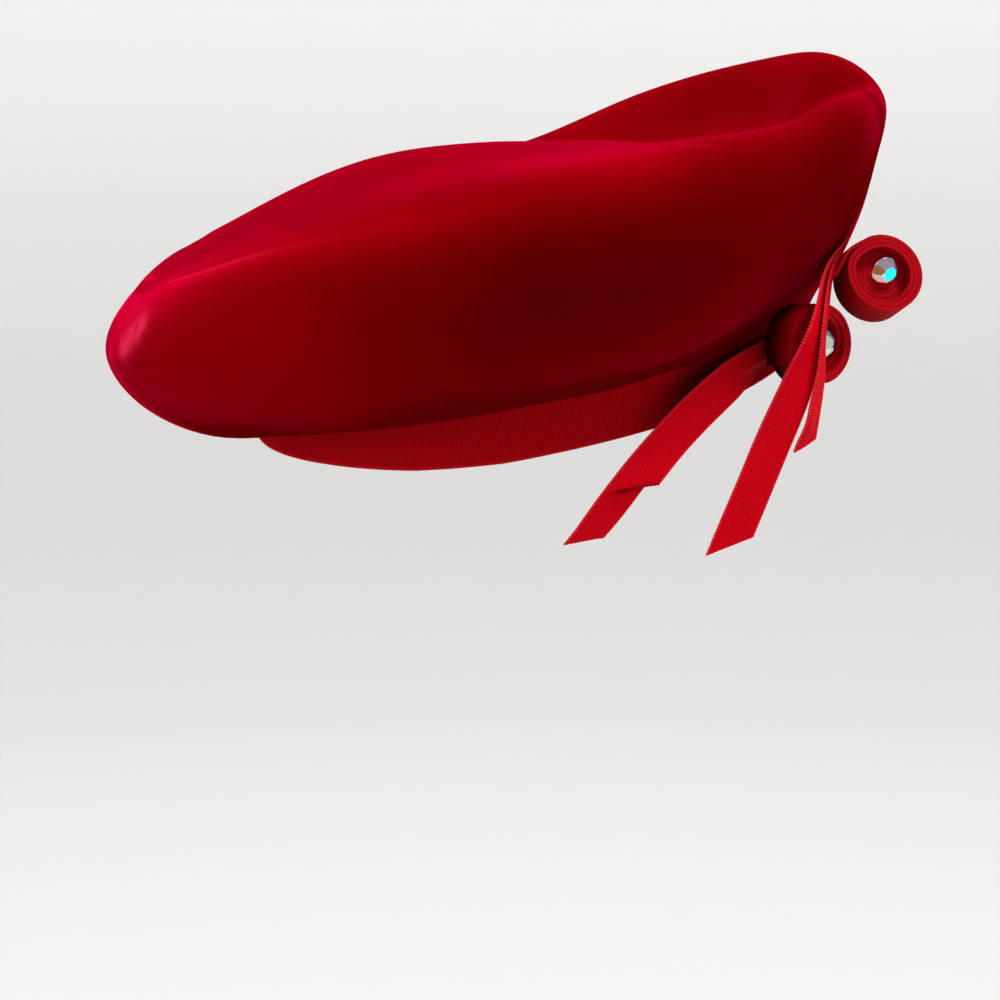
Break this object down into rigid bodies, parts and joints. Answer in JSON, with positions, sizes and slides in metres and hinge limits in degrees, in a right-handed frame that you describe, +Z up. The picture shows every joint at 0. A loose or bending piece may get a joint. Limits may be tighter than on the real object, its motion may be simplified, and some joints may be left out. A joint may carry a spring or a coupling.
{
  "type": "tilt hat",
  "caption": "Hollow velvet tilt hat with a dished top and a soft raised rim, a ribbed ribbon headband, and a side trim of rolled ribbon coils, crystals and hanging ribbon tails.",
  "frame": {"origin": "centre of the head opening, level with the headband's lower edge at the back, where the hat sits on the head", "axes": "+X to the wearer's front, +Y to the wearer's left, +Z up, with the hat as worn"},
  "size_m": [0.2563, 0.2306, 0.1544],
  "materials": {
    "velvet": "cut pile velvet, deep red, pile catching light on the rim",
    "band_ribbon": "grosgrain ribbon, dull red, fine upright ribs",
    "trim_ribbon": "grosgrain ribbon, satin red, fine crosswise ribs",
    "crystal": "faceted clear glass with an iridescent coat"
  },
  "bodies": {
    "root": {"velvet_body": "velvet", "headband": "band_ribbon", "coil_upper": "trim_ribbon", "coil_lower": "trim_ribbon", "stone_upper": "crystal", "stone_lower": "crystal", "tail_long": "trim_ribbon", "tail_short": "trim_ribbon", "tail_side": "trim_ribbon"}
  },
  "joints": []
}
